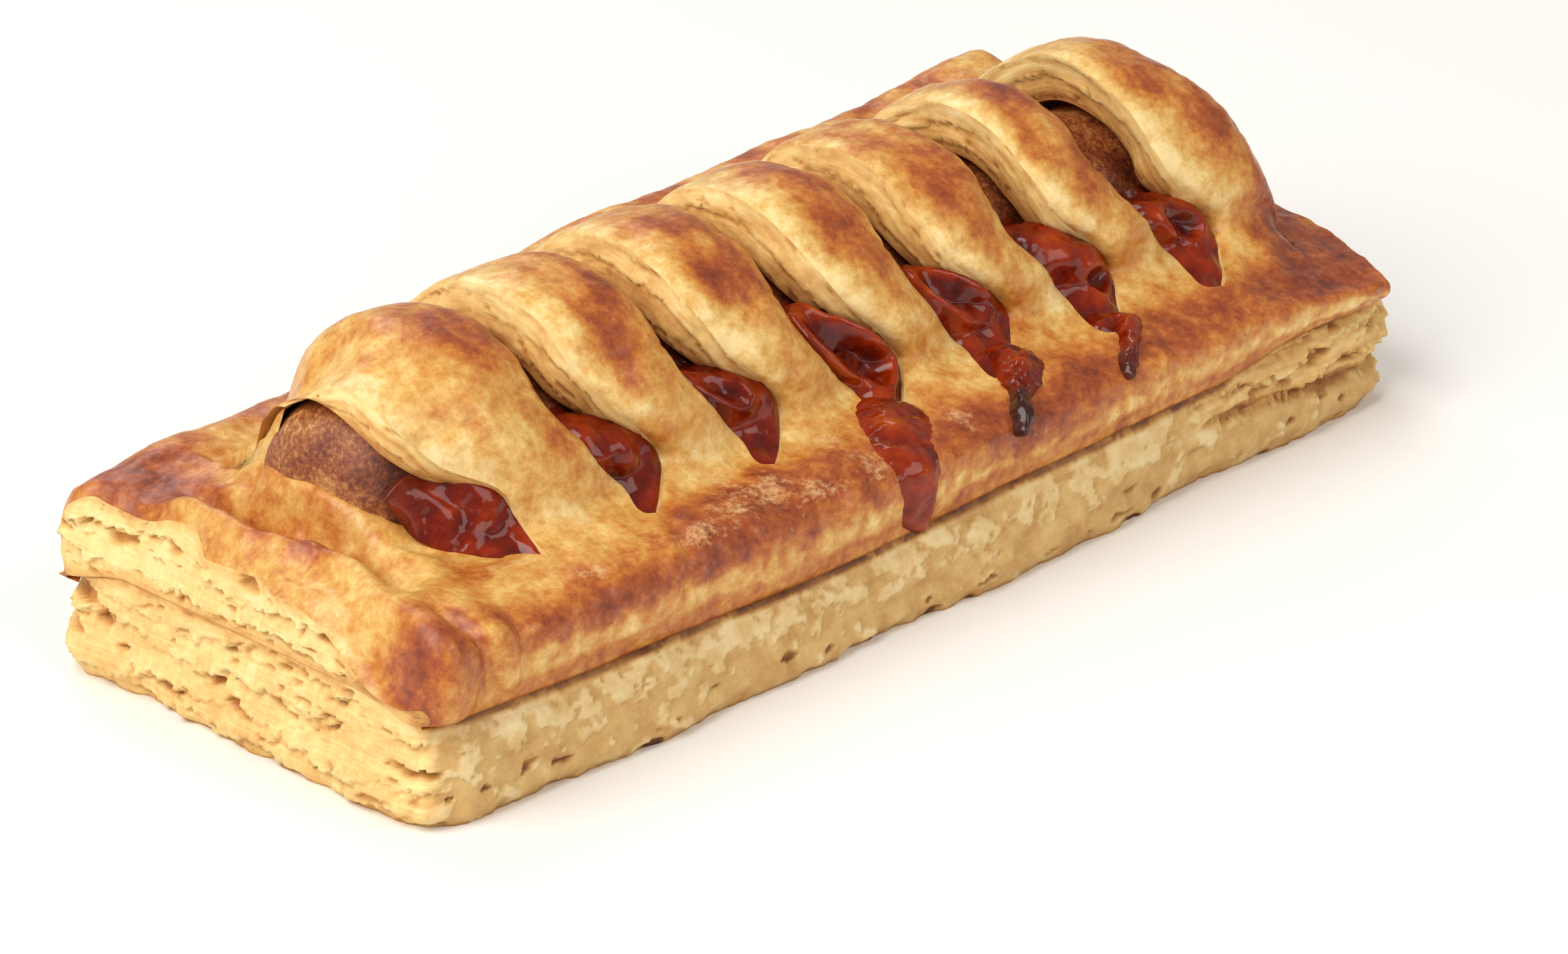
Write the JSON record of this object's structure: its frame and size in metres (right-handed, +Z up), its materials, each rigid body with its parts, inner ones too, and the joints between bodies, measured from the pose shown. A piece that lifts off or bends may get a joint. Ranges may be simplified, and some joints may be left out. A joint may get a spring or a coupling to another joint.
{
  "type": "sausage roll",
  "caption": "Slashed puff pastry roll on a flaky base, with a whole sausage and red sauce showing through its slanting slits.",
  "frame": {"origin": "on the resting plane, under the middle of the whole roll's box", "axes": "+X along the roll, from the end with the open first slit to the closed end; +Y away from the side where the slits' front ends lie; +Z up"},
  "size_m": [0.1886, 0.076, 0.0499],
  "materials": {
    "pale_puff_layers": "matte flaky baked dough, pale gold",
    "baked_puff_crust": "egg-washed baked crust, satin golden brown",
    "browned_sausage": "roasted sausage skin, soft sheen",
    "sweet_red_sauce": "thick glossy red-brown sauce"
  },
  "bodies": {
    "root": {"pastry_base": "pale_puff_layers", "pastry_lid": "baked_puff_crust", "sausage": "browned_sausage", "sauce": "sweet_red_sauce"}
  },
  "joints": []
}
